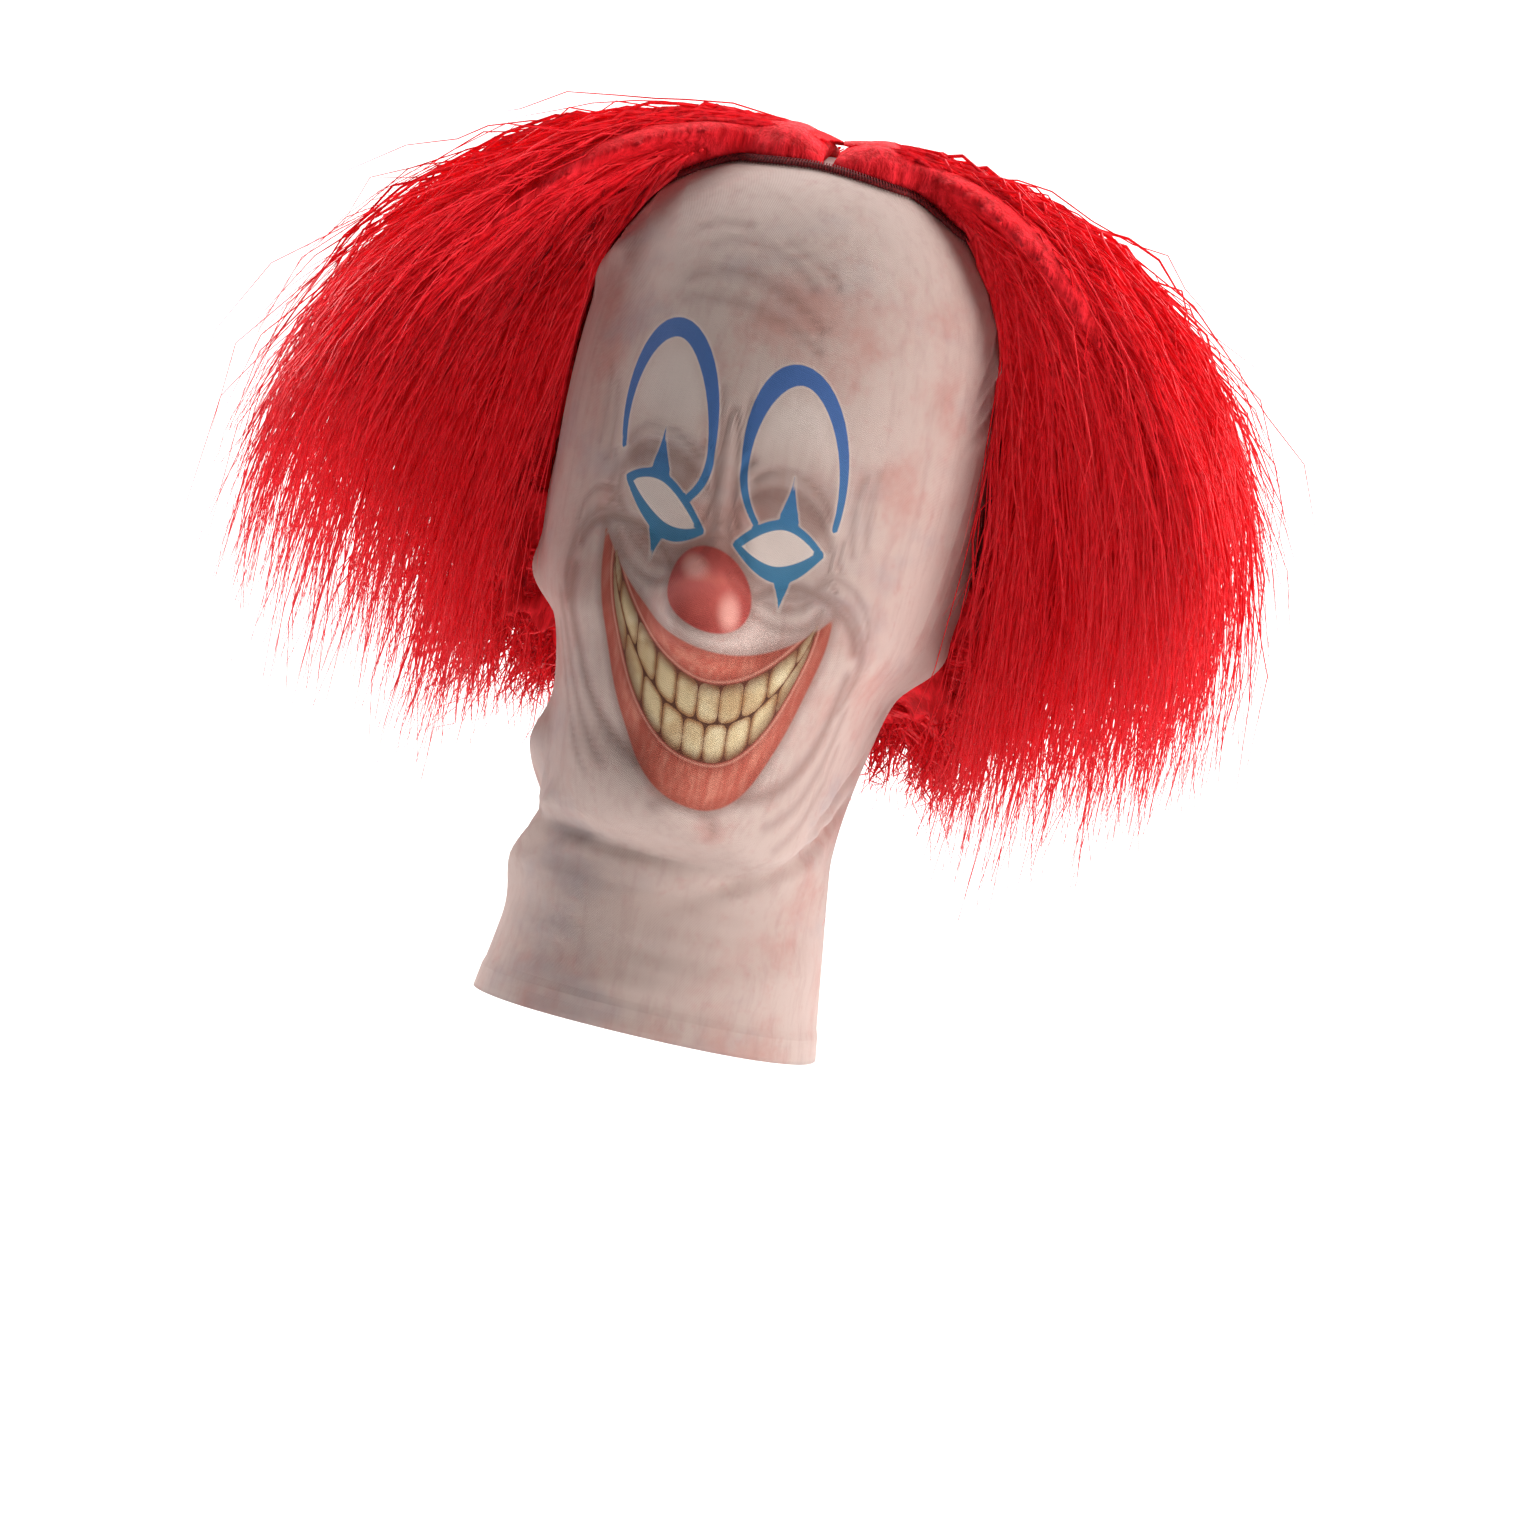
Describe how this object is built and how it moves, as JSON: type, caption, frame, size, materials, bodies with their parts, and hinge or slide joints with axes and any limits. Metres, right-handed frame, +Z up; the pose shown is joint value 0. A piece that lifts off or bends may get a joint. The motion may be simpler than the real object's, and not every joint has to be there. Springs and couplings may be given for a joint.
{
  "type": "clown mask",
  "caption": "Full-head clown mask: a stretch hood printed with a white clown face, and long red hair of fur fabric sewn over its crown and parted in the middle.",
  "frame": {"origin": "inside the crown, where the top of a head carries the mask", "axes": "+Z up, the printed face looks along -Y, +X towards the wearer's left"},
  "size_m": [0.3637, 0.2648, 0.3336],
  "materials": {
    "hood": "matt printed stretch knit",
    "fur_panel_left": "glossy long-pile synthetic fur",
    "fur_panel_right": "glossy long-pile synthetic fur"
  },
  "bodies": {
    "root": {"hood": "hood", "fur_panel_left": "fur_panel_left", "fur_panel_right": "fur_panel_right"}
  },
  "joints": []
}
